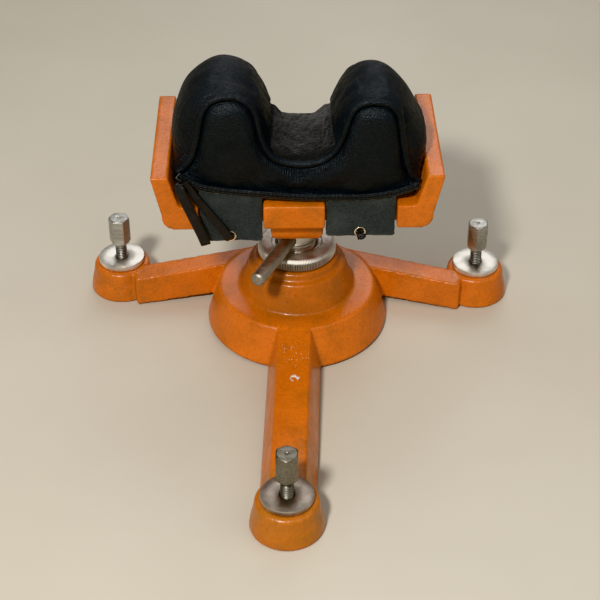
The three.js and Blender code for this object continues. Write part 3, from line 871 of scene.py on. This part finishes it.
def yoke_casting():
    y = YOKE
    right = [(79, y["top"]), (90, y["top"]), (84.3, 118.3), *arc(75.6, 115.2, 8.6, 10, -82, 6)]
    left = [(-x, z) for x, z in reversed(right)]
    corner_z = y["floor"] + 2.2
    floor = [*arc(-71.4, corner_z, 2.2, 195, 270, 4), *arc(71.4, corner_z, 2.2, 270, 345, 4)]
    yoke = prism("yoke_body", right + left + floor, -y["half_depth"], y["half_depth"])
    notches = []
    for side in (-1, 1):
        x0, x1 = sorted((TONGUE_X + side * y["notch_in"], side * y["notch_out"]))
        for end in (-1, 1):
            y0, y1 = sorted((end * (y["half_depth"] + 5), end * (y["half_depth"] - y["notch"])))
            notches.append(brick("notch", x0, x1, y0, y1, 95, 135))
    combine(yoke, notches, "DIFFERENCE")
    rib = convex("rib", [
        (side * half + RIB_X, end * depth, z)
        for side in (-1, 1) for end in (-1, 1) for half, depth, z in RIB
    ])
    low, root = y["boss"], y["bottom"] + 1
    boss_outline = [(0, low), (17.5, low), (18, low + 0.5), (18.5, root), (0, root)]
    boss = revolve("boss", boss_outline, 96, smooth=False)
    combine(yoke, [rib, boss], "UNION")
    bore = rod("bore", y["bore"], low - 2.6, 130)
    counterbore = rod("sink", y["sink"], y["floor"] - y["sink_depth"], 130)
    combine(yoke, [bore, counterbore], "DIFFERENCE")
    cast_surface(yoke, 0.9)
    return to_yoke(yoke)


# ---------- sandbag ----------

# The front welt and the bag's fullest section, from the left seam over both ears to the right, as [x, z].
WELT = [
    (-73.2, 144.2), (-68.6, 148.5), (-64, 156), (-61, 166), (-58.9, 176.9), (-56.6, 186), (-52.6, 192.3),
    (-45.8, 195.6), (-38, 195.8), (-30.5, 192.6), (-25.8, 186.2), (-23.6, 177), (-21.8, 167.5), (-17.6, 157.5),
    (-10.5, 151.4), (-1.7, 149.3), (7, 149.4), (14.5, 151.6), (21.4, 156.8), (26, 165), (29.5, 176),
    (32.2, 184.4), (37.2, 190), (45.8, 191.8), (54.6, 189.8), (60, 184.2), (62.2, 174), (64, 163), (66.4, 150),
    (70, 140.5), (74.6, 136),
]
FULL = [
    (-74, 146), (-75.6, 152), (-76, 160), (-74.4, 169), (-70.8, 179), (-65.4, 187.6), (-57.6, 194.6),
    (-47.5, 199), (-37, 197.4), (-28.4, 191.4), (-22.4, 182.6), (-18.6, 173.4), (-15.4, 164.6), (-10.6, 158),
    (-4.4, 154.8), (2.6, 153.8), (9.6, 154.8), (15.8, 158.2), (20.8, 164.2), (24.4, 173), (28.8, 182),
    (35.2, 190), (44.6, 194.8), (54, 192.8), (61.6, 186.8), (68.4, 178), (73.4, 169), (78, 160), (79.4, 152.6),
    (78.4, 146.8), (76.2, 142),
]
# The bottom seam of an end panel, and the underside of the fullest section, from right to left.
SEAM = [
    (74.6, 136), (62.7, 130.8), (50, 128), (38.3, 126.9), (20, 126.9), (1.3, 127.4), (-23.3, 129.8),
    (-40, 131.6), (-56.9, 134.6), (-67, 139.2), (-73.2, 144.2),
]
UNDER = [
    (76.4, 142), (75.2, 132), (72.4, 124.6), *((x, 123.9) for x in (50, 25, 0, -25, -50)), (-72.4, 124.6),
    (-75.4, 133), (-77, 146),
]
WELT_Y, SEAM_Y, REAR_Y = -42.5, -46.2, 41.5
# how far along the bag each section is, how full it is and how far its ears have sunk
STATIONS = [
    (-42.5, 0, 0), (-41.4, 0.24, 0), (-39.4, 0.44, 0), (-36, 0.66, 0), (-31, 0.86, 0), (-24, 0.98, 0),
    (-12, 1.02, 0), (2, 1, 2), (14, 0.98, 6), (24, 0.92, 11), (31, 0.82, 14.8), (36, 0.66, 17.6),
    (39.4, 0.42, 19.6), (41.5, 0.1, 21),
]
TOP_COUNT, LOW_COUNT, RING_COUNT = 210, 72, 38
CREASE_X = (-15.4, 20.4)  # where the saddle's leather is sewn to the ears, on the fullest section
PANEL_INSET, PANEL_DOME = 1.3, 5.6  # how far an end panel dips beside its welt, and bulges in its middle


def sag_share(z):
    """How much of the bag's sag towards its rear each height takes, as in the CAD."""
    return 0.86 * np.clip((z - 128) / 24, 0, 1) ** 1.3 + 0.14 * np.clip((z - 150) / 45, 0, 1)


def bag_rings():
    """Closed rings of points around the bag along Y, closer together towards its ends."""
    welt, full = smooth_curve(WELT, TOP_COUNT), smooth_curve(FULL, TOP_COUNT)
    seam, under = (smooth_curve(line, LOW_COUNT + 2)[1:-1] for line in (SEAM, UNDER))
    stations = smooth_curve(STATIONS, 300)
    rings = []
    for t in np.linspace(0, 1, RING_COUNT):
        s = 0.55 * t + 0.45 * (0.5 - 0.5 * math.cos(math.pi * t))
        y = WELT_Y + (REAR_Y - WELT_Y) * s
        fullness, sunk = (float(np.interp(y, stations[:, 0], stations[:, k])) for k in (1, 2))
        top = welt + (full - welt) * fullness
        top[:, 1] -= sunk * sag_share(top[:, 1])
        low = seam + (under - seam) * min(1, (y - WELT_Y) / 5)
        low[:, 1] -= sunk * sag_share(low[:, 1])
        order = np.arange(LOW_COUNT)
        from_corner = np.minimum(1, np.minimum(order + 1, LOW_COUNT - order) / 9)
        past_front = (SEAM_Y - WELT_Y) * max(0, 1 - (y - WELT_Y) / 9)
        past_rear = 3 * max(0, 1 - (REAR_Y - y) / 9)
        low_y = y + from_corner * (past_front + past_rear)
        rings.append(np.vstack([
            np.column_stack([top[:, 0], np.full(TOP_COUNT, y), top[:, 1]]),
            np.column_stack([low[:, 0], low_y, low[:, 1]]),
        ]))
    return rings


def distance_to_line(points, line):
    """How far each point is from a line of short straight pieces, in as many dimensions as both have."""
    a, d = line[:-1], np.diff(line, axis=0)
    best = np.full(len(points), np.inf)
    for start, way in zip(a, d):
        t = np.clip((points - start) @ way / max(float(way @ way), 1e-12), 0, 1)
        best = np.minimum(best, np.linalg.norm(points - start - t[:, None] * way, axis=1))
    return best


def signed_area(loop):
    """The area inside a closed 2-D loop, negative where the loop runs clockwise."""
    x, z = loop.T
    return float(np.dot(x, np.roll(z, -1)) - np.dot(z, np.roll(x, -1))) / 2


def inside_points(loop, spacing, edges=(0.9, 2.1, 3.6)):
    """Points that fill a closed 2-D loop: rows along its edge, then a triangular grid."""
    closed = np.vstack([loop, loop[:1]])
    before, after = np.roll(loop, 1, axis=0), np.roll(loop, -1, axis=0)
    way = after - before
    normal = np.column_stack([-way[:, 1], way[:, 0]]) / np.linalg.norm(way, axis=1)[:, None]
    chosen = []
    for depth in edges:
        row = (loop + normal * math.copysign(depth, signed_area(loop)))[:: 1 if depth < 2 else 2]
        chosen.append(row[distance_to_line(row, closed) > 0.93 * depth])
    low, high = loop.min(axis=0), loop.max(axis=0)
    grid = [
        (low[0] + spacing * (column + 0.5 * (row % 2)), low[1] + 0.866 * spacing * row)
        for row in range(int((high[1] - low[1]) / (0.866 * spacing)) + 1)
        for column in range(int((high[0] - low[0]) / spacing) + 1)
    ]
    grid = np.array([p for p in grid if encloses(loop, p)])
    chosen.append(grid[distance_to_line(grid, closed) > edges[-1] + 0.6 * spacing])
    return np.vstack(chosen)


def encloses(loop, point):
    x, z = point
    after = np.roll(loop, -1, axis=0)
    crosses = (loop[:, 1] > z) != (after[:, 1] > z)
    rise = np.where(np.abs(after[:, 1] - loop[:, 1]) < 1e-9, 1e-9, after[:, 1] - loop[:, 1])
    at = loop[:, 0] + (z - loop[:, 1]) / rise * (after[:, 0] - loop[:, 0])
    return int((crosses & (x < at)).sum()) % 2 == 1


def filled(loop, inner):
    """Triangles over a closed 2-D loop and the points inside it, numbered loop first and then inner."""
    points = [Vector((float(x), float(z))) for x, z in np.vstack([loop, inner])]
    border = [(i, (i + 1) % len(loop)) for i in range(len(loop))]
    made = delaunay_2d_cdt(points, border, [], 1, 1e-6)
    source = [old[0] for old in made[3]]
    return [[source[v] for v in face] for face in made[2]]


def panel(ring, outward):
    """The inner points and triangles of an end panel, which dips at the welt and bulges between its seams."""
    flat = ring[:, [0, 2]]
    inner = inside_points(flat, 2.4)
    from_welt = distance_to_line(inner, flat[:TOP_COUNT])
    from_seam = distance_to_line(inner, np.vstack([flat[TOP_COUNT - 1:], flat[:1]]))
    share = from_welt / (from_welt + from_seam)
    start_y, seam_y = ring[TOP_COUNT // 2, 1], ring[TOP_COUNT + LOW_COUNT // 2, 1]
    rise = 1 - np.exp(-(from_welt / 4.6) ** 1.5)
    bulge = PANEL_DOME * rise * (1 - np.exp(-(from_seam / 13) ** 1.6)) - PANEL_INSET * fade(from_welt, 2)
    y = start_y + (seam_y - start_y) * share**2 + outward * bulge
    return np.column_stack([inner[:, 0], y, inner[:, 1]]), filled(flat, inner)


def bag_shell():
    """The bag's closed mesh, with the points that its seams hold and the lines of its welts."""
    rings = bag_rings()
    count = TOP_COUNT + LOW_COUNT
    points = np.vstack(rings)
    faces = []
    for s in range(RING_COUNT - 1):
        for i in range(count):
            a, b = s * count + i, s * count + (i + 1) % count
            faces.append([a, b, b + count, a + count])
    held = set(range(count)) | set(range((RING_COUNT - 1) * count, RING_COUNT * count))
    slack = set()
    creases = [int(np.argmin(np.abs(smooth_curve(FULL, TOP_COUNT)[:, 0] - x))) for x in CREASE_X]
    for s in range(RING_COUNT):
        held.update(s * count + i for i in range(TOP_COUNT, count))
        held.update(s * count + i for i in creases)
        slack.update(s * count + i for i in range(creases[0] + 3, creases[1] - 2))
    for s, outward in ((0, -1), (RING_COUNT - 1, 1)):
        inner, triangles = panel(rings[s], outward)
        first = len(points)
        points = np.vstack([points, inner])
        for triangle in triangles:
            faces.append([s * count + v if v < count else first + v - count for v in triangle])
    lines = dict(
        front=rings[0][:TOP_COUNT], rear=rings[-1][:TOP_COUNT],
        front_seam=np.vstack([rings[0][TOP_COUNT - 1:], rings[0][:1]]),
        rear_seam=np.vstack([rings[-1][TOP_COUNT - 1:], rings[-1][:1]]),
        creases=[np.array([ring[i] for ring in rings]) for i in creases],
    )
    return points, faces, sorted(held), sorted(slack), lines


def inflate(obj, held, slack, farthest):
    """Blows the leather out against its held seams by cloth simulation, but no point farther than a limit."""
    start = np.array([v.co for v in obj.data.vertices])
    obj.vertex_groups.new(name="held").add(held, 1.0, "REPLACE")
    obj.vertex_groups.new(name="slack").add(slack, 1.0, "REPLACE")
    cloth = obj.modifiers.new("cloth", "CLOTH")
    settings = cloth.settings
    settings.quality = 6
    settings.mass = 0.25
    settings.tension_stiffness = settings.compression_stiffness = 18
    settings.shear_stiffness = 10
    settings.bending_stiffness = 1.5
    settings.use_pressure = True
    settings.uniform_pressure_force = 4
    settings.vertex_group_shrink = "slack"
    settings.shrink_min, settings.shrink_max = -0.012, -0.05
    settings.vertex_group_mass = "held"
    settings.pin_stiffness = 1
    settings.effector_weights.gravity = 0
    cloth.collision_settings.use_collision = False
    for step in range(1, 21):
        scene.frame_set(step)
    apply_all(obj)
    scene.frame_set(1)
    moved = np.array([v.co for v in obj.data.vertices]) - start
    far = np.linalg.norm(moved, axis=1)
    limit = farthest * MM
    moved *= (limit * np.tanh(far / limit) / np.maximum(far, 1e-9))[:, None]
    obj.data.vertices.foreach_set("co", (start + moved).ravel())
    obj.vertex_groups.clear()
    return obj


def subdivided(obj):
    modifier = obj.modifiers.new("subdivide", "SUBSURF")
    modifier.levels = modifier.render_levels = 1
    return apply_all(obj)


def fade(distance, width):
    return np.exp(-(distance / width) ** 2)


def bag_details(obj, lines):
    """Presses the seams in, wrinkles the leather, and marks where it is saddle or gathered."""
    mesh = obj.data
    count = len(mesh.vertices)
    place, normal = np.zeros(count * 3), np.zeros(count * 3)
    mesh.vertices.foreach_get("co", place)
    mesh.vertex_normals.foreach_get("vector", normal)
    place, normal = place.reshape(-1, 3) / MM, normal.reshape(-1, 3)
    front, rear = (distance_to_line(place, lines[end][::3]) for end in ("front", "rear"))
    crease = np.minimum(*(distance_to_line(place, line[::3]) for line in lines["creases"]))
    outer = np.abs(normal[:, 1]) < 0.75
    left, right = (np.interp(place[:, 1], line[:, 1], line[:, 0]) for line in lines["creases"])
    sag = np.interp(place[:, 1], lines["creases"][0][:, 1], lines["creases"][0][:, 2])
    saddle = (place[:, 0] > left) & (place[:, 0] < right) & (place[:, 2] < sag + 8) & (normal[:, 2] > 0.15)
    saddle &= (place[:, 1] > WELT_Y) & (place[:, 1] < REAR_Y) & (place[:, 2] > 140)
    folds = np.array([noise.noise((p[0] * 0.03, p[1] * 0.5, p[2] * 0.03)) for p in place])
    dents = np.array([noise.noise(tuple(p * 0.055)) for p in place])
    nap = np.array([noise.noise(tuple(p * (0.42, 0.2, 0.42))) for p in place])
    push = -1.3 * fade(crease, 1.5) * outer
    push += -0.4 * fade(np.minimum(front, rear) - 2.5, 0.8) * outer
    push += 0.2 * folds * (outer & ~saddle) + 0.5 * dents
    push += 0.6 * nap * saddle
    corner = np.minimum(*(np.linalg.norm(place - lines["front"][end], axis=1) for end in (0, -1)))
    rays = np.sin(np.arctan2(place[:, 2] - 150, np.abs(place[:, 0]) - 60) * 26)
    push += 0.35 * rays * fade(corner - 9, 7) * (np.minimum(front, crease) > 1)
    place += normal * push[:, None]
    mesh.vertices.foreach_set("co", (place * MM).ravel())
    middle = fade(place[:, 0] - 3, 26)
    marks = dict(saddle=saddle.astype(float), gathered=fade(np.maximum(0, front - 2), 10) * middle * ~outer)
    for name, values in marks.items():
        mesh.attributes.new(name, "FLOAT", "POINT").data.foreach_set("value", values)
    return obj


def sandbag():
    points, faces, held, slack, lines = bag_shell()
    bag = mesh_object("sandbag_leather", points, faces)
    inflate(bag, held, slack, 2.2)
    bag_details(subdivided(bag), lines)
    bag.data.shade_smooth()
    return to_yoke(bag), lines


def use_second_material(obj, attribute):
    """Gives the faces whose points carry an attribute the object's second material."""
    marked = np.zeros(len(obj.data.vertices))
    obj.data.attributes[attribute].data.foreach_get("value", marked)
    for face in obj.data.polygons:
        face.material_index = int(marked[list(face.vertices)].mean() > 0.5)


def welt_bead(name, line, outward, radius):
    """The rolled leather edge over the seam between the ears' leather and an end panel."""
    path = smooth_curve(line + np.array([0, 0.9 * outward, 0.4 * (radius - 1.3)]), 420)

    def section(t):
        return round_section(radius * (1 + 0.08 * noise.noise((t * 60, 0.3, 0))), 12)

    return tube(name, path, section)


def seam_height(x):
    line = np.array(SEAM[::-1], float)
    return float(np.interp(x, line[:, 0], line[:, 1]))


def seam_strip(name, outward, y, thick, low, high, wave):
    """A strip of leather that hangs along the bottom seam, from one height to another about it."""
    points = smooth_curve(SEAM, 300)
    half = thick / 2
    path = [(x, outward * y, z) for x, z in (points[::-1] if outward > 0 else points)]

    def section(t):
        ragged = wave * noise.noise((t * 42, y, 0))
        corners = [(-half, low + 0.3), (-half + 0.3, low), (half - 0.3, low), (half, low + 0.3),
                   (half, high - 0.3), (half - 0.3, high), (-half + 0.3, high), (-half, high - 0.3)]
        return [(a, b + (ragged if b < 0 else 0)) for a, b in corners]

    return tube(name, path, section, twist=lambda t, way: Vector((0, outward, 0)))


def stitch_rows(name, outward, y, heights, pitch=2.7, length=1.8, radius=0.27):
    """Rows of thread stitches along the bottom seam."""
    stitches = []
    for height in heights:
        line = smooth_curve([(x, z + height) for x, z in SEAM], 600)
        steps = np.concatenate([[0], np.cumsum(np.linalg.norm(np.diff(line, axis=0), axis=1))])
        for at in np.arange(2.5, steps[-1] - 3.5, pitch):
            ends = np.array([[np.interp(at + far, steps, line[:, k]) for k in (0, 1)] for far in (0, length)])
            path = []
            for share, out in ((0, -0.25), (0.15, 0.1), (0.5, 0.1), (0.85, 0.1), (1, -0.25)):
                x, z = ends[0] + (ends[1] - ends[0]) * share
                path.append((x, outward * (y + out), z))
            stitches.append(tube("stitch", path, round_section(radius, 6)))
    return joined(name, stitches)


def joined(name, objects):
    """One mesh made of several that don't touch each other."""
    build = bmesh.new()
    for obj in objects:
        build.from_mesh(obj.data)
    mesh = bpy.data.meshes.new(name)
    build.to_mesh(mesh)
    build.free()
    remove(*objects)
    mesh.shade_smooth()
    return linked(name, mesh)


# ---------- flaps, eyelets and laces ----------

FLAP = dict(y=46, thick=1.9, inner=19.8, outer=60.6, hole=3.2)
# each flap's side (-1 left) and end (-1 front), how low it hangs, and how far out and high its eyelet is
FLAPS = {
    "front_left": (-1, -1, 95.2, (42, 99.6)), "front_right": (1, -1, 98.2, (38.8, 102)),
    "rear_left": (-1, 1, 96.5, (41, 100.8)), "rear_right": (1, 1, 97, (41, 101.2)),
}


def flap_outline(side, low, seed):
    """A hand-cut flap: straight sides that wander a little, and a wavier lower edge."""
    def wander(at, size):
        return size * noise.noise((at * 0.16, seed, 0)) + 0.35 * size * noise.noise((at * 0.7, seed, 4))

    inner, outer = FLAP["inner"] + side * TONGUE_X, FLAP["outer"]
    xs = np.arange(inner + 1.2, outer - 1.0, 1.1)
    loop = [(side * x, low + 0.35 + wander(x, 0.55)) for x in xs]
    top = {x: seam_height(side * x) - 0.4 for x in (inner, outer)}
    loop += [(side * (outer + wander(z, 0.5)), z) for z in np.arange(low + 1.3, top[outer], 1.1)]
    loop += [(side * x, seam_height(side * x) - 0.4) for x in xs[::-1]]
    loop += [(side * (inner + wander(z + 50, 0.4)), z) for z in np.arange(top[inner] - 1.2, low + 1.2, -1.1)]
    return np.array(loop)


def flap(name):
    """One suede flap as a thin closed sheet with its eyelet hole, gently rippled; its flat size and area."""
    side, end, low, (eyelet_x, eyelet_z) = FLAPS[name]
    seed = 3.0 * list(FLAPS).index(name) + 0.5
    loop = flap_outline(side, low, seed)
    hole = np.array([(side * eyelet_x, eyelet_z)])
    hole_ring = hole + round_section(FLAP["hole"], 24)
    inner = inside_points(loop, 1.5, (0.5,))
    inner = inner[np.linalg.norm(inner - hole, axis=1) > FLAP["hole"] + 0.6]
    flat = np.vstack([loop, hole_ring, inner])
    triangles = filled(loop, np.vstack([hole_ring, inner]))
    ring = range(len(loop), len(loop) + 24)
    triangles = [t for t in triangles if not all(v in ring for v in t)]
    from_edge = np.minimum(distance_to_line(flat, np.vstack([loop, loop[:1]])),
                           np.abs(np.linalg.norm(flat - hole, axis=1) - FLAP["hole"]))
    half = FLAP["thick"] / 2 * np.sqrt(np.clip(0.45 + from_edge / 0.9, 0, 1))
    broad, small = (np.array([noise.noise((x * k, z * k, seed)) for x, z in flat]) for k in (0.05, 0.2))
    free = np.clip(from_edge / 4, 0.35, 1) * np.clip((125 - flat[:, 1]) / 12, 0, 1)
    middle = end * FLAP["y"] + 0.8 * (broad + 0.3 * small) * free
    count = len(flat)
    points = np.vstack([np.column_stack([flat[:, 0], middle - half, flat[:, 1]]),
                        np.column_stack([flat[:, 0], middle + half, flat[:, 1]])])
    faces = triangles + [[v + count for v in reversed(t)] for t in triangles]
    for rim in (list(range(len(loop))), list(ring)):
        faces += [[a, b, b + count, a + count] for a, b in zip(rim, rim[1:] + rim[:1])]
    return mesh_object("flap_leather_" + name, points, faces), np.ptp(loop, axis=0), abs(signed_area(loop))


def eyelet(name):
    """A brass eyelet: a rolled flange outside, a barrel and its clenched rim inside."""
    side, end, _, (eyelet_x, eyelet_z) = FLAPS[name]
    face = FLAP["thick"] / 2
    clenched = [(2.3, 0), (2.45, 0.5), (2.9, 0.75), (3.4, 0.5), (3.5, 0.15), (2.8, 0.1)]
    flange = [(2.8, 0.1), (3.55, 0.15), (3.75, 0.45), (3.45, 0.85), (2.85, 0.95), (2.4, 0.7)]
    outline = [(r, -face - out) for r, out in clenched] + [(r, face + out) for r, out in flange]
    ring = revolve("eyelet_ring_" + name, outline, 48, ring=True)
    ring.data.transform(Matrix.Rotation(math.radians(90 if end < 0 else -90), 4, "X"))
    ring.data.transform(Matrix.Translation(Vector((side * eyelet_x, end * FLAP["y"], eyelet_z)) * MM))
    return ring


LEFT_LACE = [
    (-41, 52, 100.6), (-41, 46, 100.8), (-41, 38, 100), (-41.2, 20, 98.6), (-41.5, 0, 98.2), (-41.8, -20, 98.4),
    (-42, -38, 99.2), (-42, -46, 99.6), (-42, -50, 99.8), (-43.6, -52, 102.2), (-46.6, -51.4, 107),
    (-51.4, -50.4, 113.8), (-57, -50, 121.8), (-62.2, -50, 129.4), (-66, -50, 135.6), (-68.8, -50.4, 140),
    (-71, -51.4, 141.6), (-71.9, -52.8, 139.6), (-71, -53.6, 136), (-69.2, -53.8, 131), (-67, -53.8, 125),
    (-64.6, -53.8, 118.4), (-61.4, -54, 110.2), (-58.2, -54, 100.8), (-57.3, -54, 98),
]
RIGHT_LACE = [
    (39.4, -52, 101.6), (38.8, -46, 102), (38.9, -38, 101.2), (39.4, -20, 99), (40, 0, 98.4), (40.5, 20, 99),
    (41, 38, 100.6), (41, 46, 101.2), (41, 52, 101),
]
LACE_WIDTH = 6.4


def thong(name, route, count):
    """A flat thong with two folds along it, which lies flat outside the flaps and bunches in the eyelets."""
    path = smooth_curve(route, count)

    def y_at(t):
        return path[min(count - 1, int(round(t * (count - 1))))][1]

    def across(t, way):
        under = float(np.clip((y_at(t) + 49) / 4, 0, 1))
        outside = Vector((0, 1, 0)).cross(way)
        if outside.length < 1e-3:
            return Vector((1, 0, 0))
        outside.normalize()
        if outside.x < 0:
            outside.negate()
        return outside.lerp(Vector((1, 0, 0)), under)

    def section(t):
        squeeze = float(fade(abs(abs(y_at(t)) - FLAP["y"]), 3.2))
        half, thick = LACE_WIDTH / 2 * (1 - 0.4 * squeeze), 1.0 * (1 + 0.9 * squeeze)
        points = []
        for angle in np.linspace(0, 2 * math.pi, 28, endpoint=False):
            a = math.copysign(abs(math.cos(angle)) ** 0.8, math.cos(angle))
            fold = 1 - 0.42 * fade(abs(a) - 0.36, 0.13) + 0.1 * noise.noise((t * 30, a * 3, 2))
            wide = half * (1 + 0.05 * noise.noise((t * 22, 1, 0)))
            points.append((wide * a, thick * math.sin(angle) * fold))
        return points

    return tube(name, path, section, twist=across), path


def knot(centre, outward):
    """An overhand knot pulled tight, wider than it is tall."""
    turns = []
    for t in np.linspace(0, 1, 90):
        a = 2 * math.pi * t * 1.6
        r = 1.6 + 0.2 * math.sin(3 * a)
        out = outward * (0.6 + 1.5 * math.sin(math.pi * t))
        turns.append((r * math.cos(a), out, 0.45 * r * math.sin(a) + 0.6 * (t - 0.5)))
    body = tube("knot", turns, round_section(1.15, 12))
    body.data.transform(Matrix.Translation((Vector(centre) + Vector((0, 0, 1.2))) * MM))
    return body


# ---------- build ----------

add_camera()
add_lights()
add_floor()

# each foot's colours of screw and disc as lit: the rear discs brightened as a painted reflection, the left one
# most, and the front foot's screw and disc darker and warmer
FOOT_METALS_AS_LIT = {
    "front": ((0.34, 0.32, 0.27), (0.52, 0.45, 0.39)), "right": ((0.56, 0.55, 0.51), (0.86, 0.82, 0.75)),
    "left": ((0.60, 0.59, 0.55), (0.93, 0.89, 0.82)),
}
paint = orange_paint()
finish_piece(base_casting(), "base", "orange_paint", paint, "base_casting")
for foot in FEET:
    axis = foot_place(foot) * MM + COLUMN
    # this foot's colours as lit, with a painted reflection on the rear discs
    screw_colour_as_lit, disc_colour_as_lit = FOOT_METALS_AS_LIT[foot]
    steel = drawn_steel("screw_steel_" + foot, screw_colour_as_lit, thread=axis)
    finish_piece(levelling_screw(foot), "screw_" + foot, "turned_steel", steel, "levelling_screw_" + foot)
    bright = turned_metal("disc_metal_" + foot, disc_colour_as_lit, axis, 0.32)
    finish_piece(lock_disc(foot), "disc_" + foot, "turned_aluminium", bright, "lock_disc_" + foot)
# the ring's knurled rim, whose roots get painted shade
ring_rim = (RING_RADIUS * MM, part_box("lock_ring")[1].z - 0.0027)
ring_metal = turned_metal("ring_metal", (0.80, 0.78, 0.72), COLUMN, 0.4, ring_rim)
finish_piece(lock_ring(), "ring", "turned_aluminium", ring_metal, "lock_ring")
column_steel = turned_metal("column_steel", (0.70, 0.67, 0.61), COLUMN)
finish_piece(jack_column(), "column", "turned_steel", column_steel, "jack_column")
bar_way = Matrix.Rotation(math.radians(-BAR["turn"]), 3, "Z") @ Vector((0, -1, 0))
bar_steel = drawn_steel("bar_steel", (0.50, 0.47, 0.41), bar_way, 0.45)
finish_piece(turning_bar(), "column", "dark_steel", bar_steel, "turning_bar")
washer_steel = turned_metal("washer_steel", (0.6, 0.59, 0.56), COLUMN)
for name, body, inner, outer in (("thrust", "lift", 8.35, 12.6), ("pivot", "column", 4.5, 12.7)):
    washer = small_washer(name + "_ring", name + "_washer", inner, outer)
    finish_piece(washer, body, "turned_steel", washer_steel, name + "_washer")
pivot_steel = drawn_steel("pivot_steel", (0.3, 0.29, 0.27))
finish_piece(pivot_screw(), "column", "dark_steel", pivot_steel, "pivot_screw")
finish_piece(yoke_casting(), "yoke", "orange_paint", paint, "yoke_casting")
leather, suede, edge_look, metal = black_leather(), grey_suede(), cut_edge(), brass()
lace_look, thread = black_thong(), thread_look()
bag, bag_lines = sandbag()
finish_piece(bag, "yoke", "black_leather", [leather, napped_leather()], "sandbag")
use_second_material(bag, "saddle")
for end, outward, seam_y in (("front", -1, 48.0), ("rear", 1, 46.2)):
    bead = to_yoke(welt_bead("welt_" + end, bag_lines[end], outward, 2.1 if end == "front" else 1.1))
    finish_piece(bead, "yoke", "black_leather", leather)
    strip = to_yoke(seam_strip("seam_strip_" + end, outward, seam_y + 0.1, 1.2, -0.6, 3.7, 0.25))
    finish_piece(strip, "yoke", "black_leather", leather)
    edge = to_yoke(seam_strip("seam_edge_" + end, outward, seam_y - 1.1, 1.0, -1.9, 2.6, 0.5))
    finish_piece(edge, "yoke", "grey_suede", edge_look)
    rows = to_yoke(stitch_rows("seam_stitches_" + end, outward, seam_y + 0.75, (0.7, 2.4)))
    finish_piece(rows, "yoke", "black_lace", thread)
for name in FLAPS:
    sheet, cut, cut_area = flap(name)
    finish_piece(to_yoke(sheet), "yoke", "grey_suede", suede, "flap_" + name)
    ring = finish_piece(to_yoke(eyelet(name)), "yoke", "brass_eyelet", metal, "eyelet_" + name)
lace, lace_path = thong("lace_left_thong", LEFT_LACE, 170)
to_yoke(lace)
finish_piece(lace, "yoke", "black_lace", lace_look, "lace_left")
short, _ = thong("lace_right_thong", RIGHT_LACE, 80)
finish_piece(to_yoke(short), "yoke", "black_lace", lace_look, "lace_right")
for name, place, outward in (("front", RIGHT_LACE[0], -1), ("rear", RIGHT_LACE[-1], 1)):
    tied = to_yoke(knot(place, outward))
    tied.name = "lace_knot_" + name
    finish_piece(tied, "yoke", "black_lace", lace_look)
